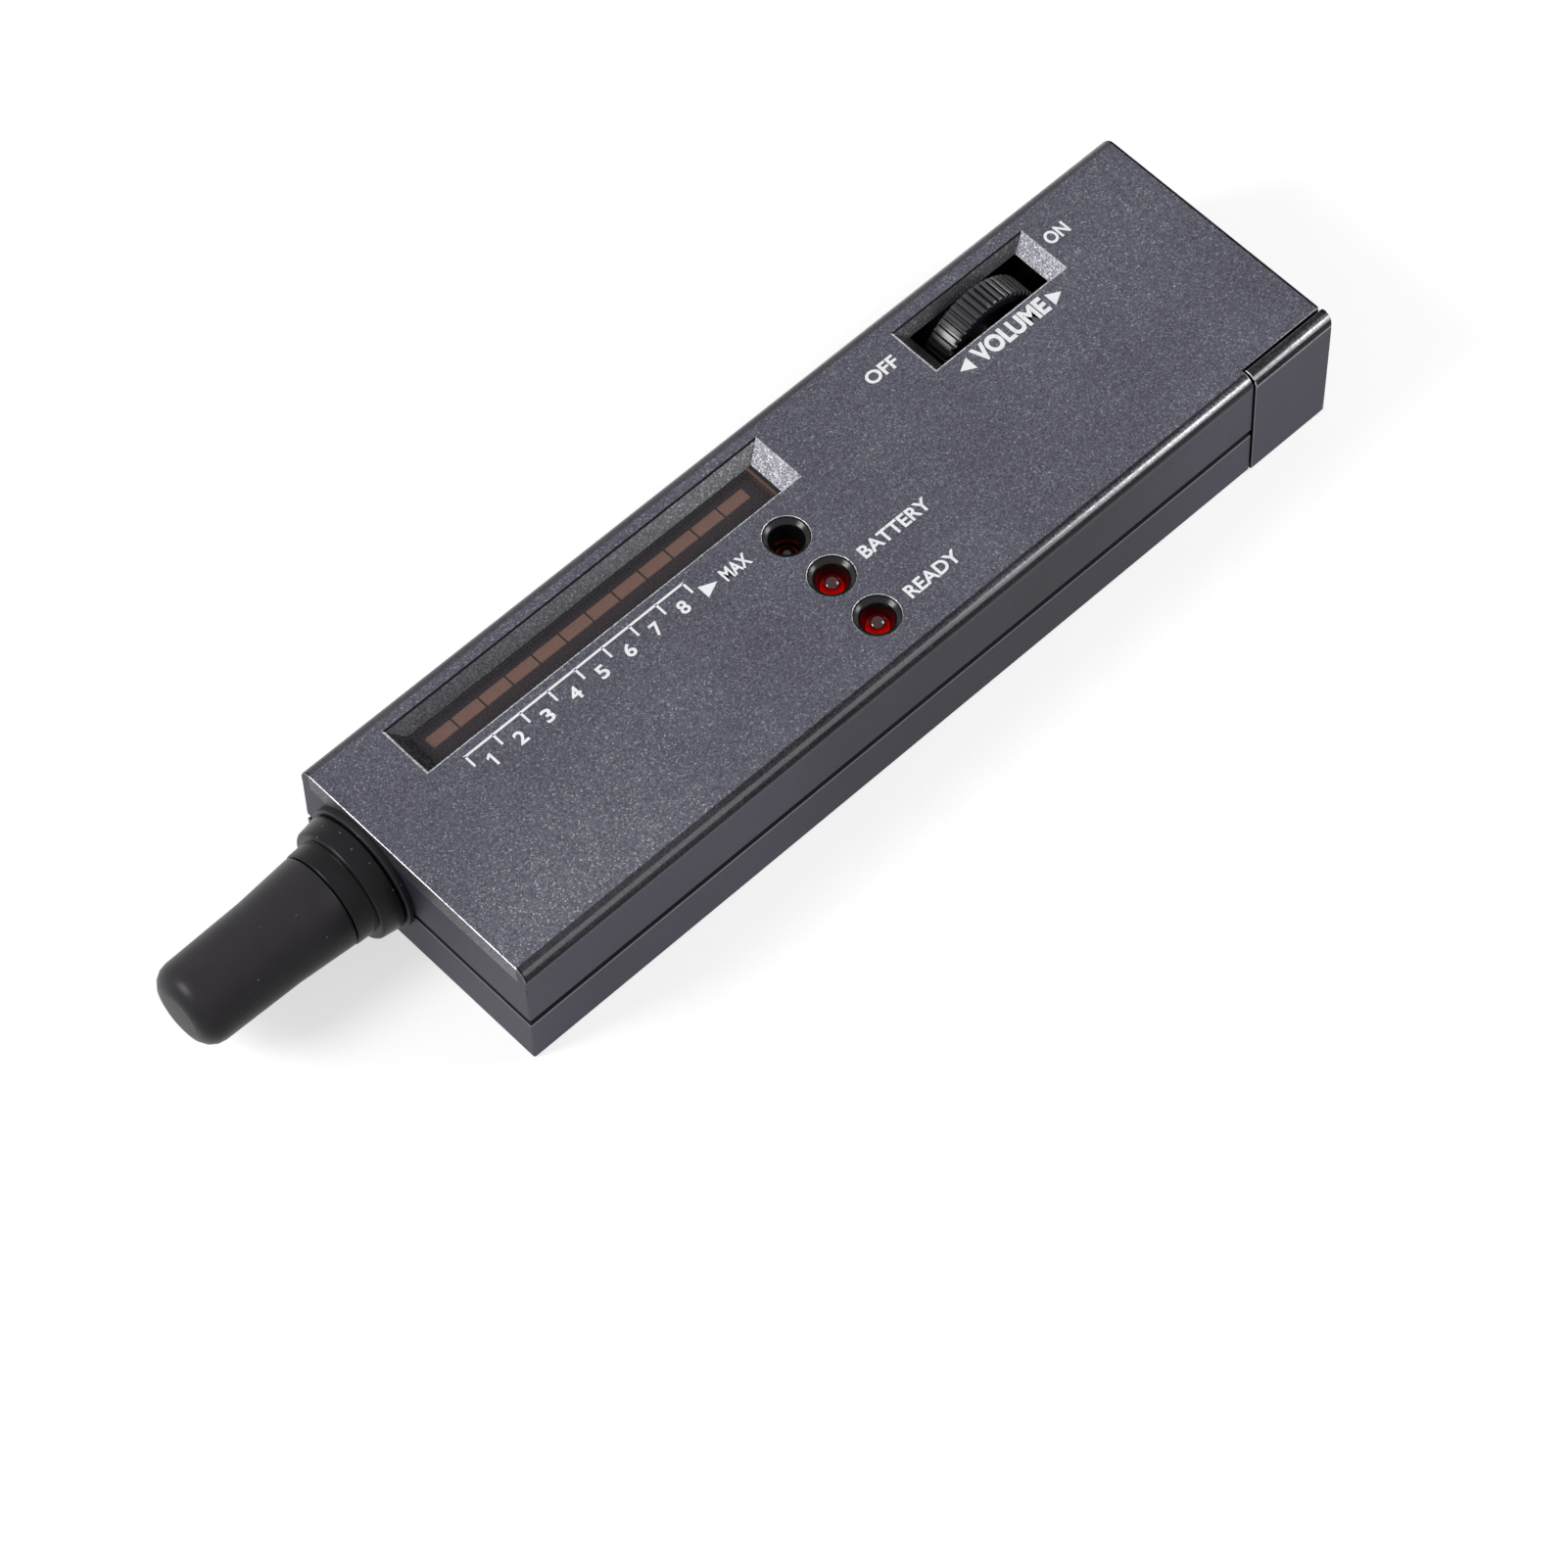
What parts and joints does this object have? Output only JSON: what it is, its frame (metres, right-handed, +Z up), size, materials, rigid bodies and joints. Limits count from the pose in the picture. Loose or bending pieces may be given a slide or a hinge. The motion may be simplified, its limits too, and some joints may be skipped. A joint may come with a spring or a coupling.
{
  "type": "led gem tester",
  "caption": "Hand-held electronic gem tester with a bar display of small lamps, a thumbwheel switch, signal lamps, a capped sprung probe and a slide-off battery cover.",
  "frame": {"origin": "middle of the tester's own box, on the flat underside it rests on", "axes": "+X along the housing from the probe towards the battery cover, +Y towards the long side beside the display, +Z up out of the printed top face"},
  "size_m": [0.175, 0.0432, 0.0209],
  "materials": {
    "shell_paint": "dark grey paint with a fine metallic speckle",
    "foam": "dark foam",
    "screw_steel": "plated steel",
    "window_tint": "clear smoked brown sheet",
    "black_plastic": "satin black moulding",
    "bar_lens": "unlit milky brown lens",
    "gloss_black": "polished black",
    "amber_lens": "clear dark amber",
    "red_lens": "clear red",
    "board_green": "green lacquered board",
    "chip_black": "moulded epoxy",
    "trimmer_blue": "blue moulding",
    "capacitor_sleeve": "shrink sleeve",
    "resistor_body": "tan lacquer",
    "battery_can": "plain can",
    "lead_red": "vinyl insulation",
    "lead_black": "vinyl insulation",
    "lead_white": "vinyl insulation",
    "cap_rubber": "soft black vinyl",
    "probe_copper": "polished copper",
    "heater_ceramic": "unglazed"
  },
  "bodies": {
    "housing": {"top_shell": "shell_paint", "bottom_shell": "shell_paint", "housing_screw_1": "screw_steel", "housing_screw_2": "screw_steel", "housing_screw_3": "screw_steel", "housing_screw_4": "screw_steel", "display_window": "window_tint", "bar_mask": "black_plastic", "bar_led_01": "bar_lens", "bar_led_02": "bar_lens", "bar_led_03": "bar_lens", "bar_led_04": "bar_lens", "bar_led_05": "bar_lens", "bar_led_06": "bar_lens", "bar_led_07": "bar_lens", "bar_led_08": "bar_lens", "bar_led_09": "bar_lens", "bar_led_10": "bar_lens", "bar_led_11": "bar_lens", "bar_led_12": "bar_lens", "lamp_cup_1": "gloss_black", "lamp_cup_2": "gloss_black", "lamp_cup_3": "gloss_black", "signal_lamp_1": "amber_lens", "signal_lamp_2": "red_lens", "signal_lamp_3": "red_lens", "circuit_board": "board_green", "driver_chip": "chip_black", "amplifier_chip": "chip_black", "trimmer": "trimmer_blue", "buzzer": "chip_black", "capacitor_1": "capacitor_sleeve", "capacitor_2": "capacitor_sleeve", "resistor_1": "resistor_body", "resistor_2": "resistor_body", "board_screw_1": "screw_steel", "board_screw_2": "screw_steel", "volume_control": "chip_black", "battery": "battery_can", "battery_snap": "black_plastic", "battery_lead_red": "lead_red", "battery_lead_black": "lead_black", "nose_gasket": "cap_rubber", "nose_collar": "black_plastic", "probe_barrel": "black_plastic", "probe_plug": "resistor_body", "probe_spring": "screw_steel", "probe_lead_1": "lead_white", "probe_lead_2": "lead_white"},
    "end_cover": {"battery_cover": "shell_paint", "battery_pad": "foam"},
    "wheel": {"thumb_wheel": "black_plastic", "wheel_shaft": "screw_steel", "wheel_screw": "screw_steel"},
    "tip": {"probe_tip": "probe_copper", "probe_heater": "heater_ceramic"},
    "nose_cap": {"probe_cap": "cap_rubber"}
  },
  "joints": [
    {"name": "cover_slide", "type": "slide", "parent": "housing", "child": "end_cover", "axis": [1, 0, 0], "range_m": [0, 0.03]},
    {"name": "wheel_turn", "type": "hinge", "parent": "housing", "child": "wheel", "pos_m": [0.05598, 0.01325, 0.0117], "axis": [0, 1, 0], "range_deg": [0, 280]},
    {"name": "probe_plunge", "type": "slide", "parent": "housing", "child": "tip", "axis": [1, 0, 0], "range_m": [0, 0.002], "stiffness_N_per_m": 200, "springref_m": -0.002, "deforming": ["probe_spring"]},
    {"name": "cap_pull", "type": "slide", "parent": "housing", "child": "nose_cap", "axis": [-1, 0, 0], "range_m": [0, 0.045]}
  ]
}
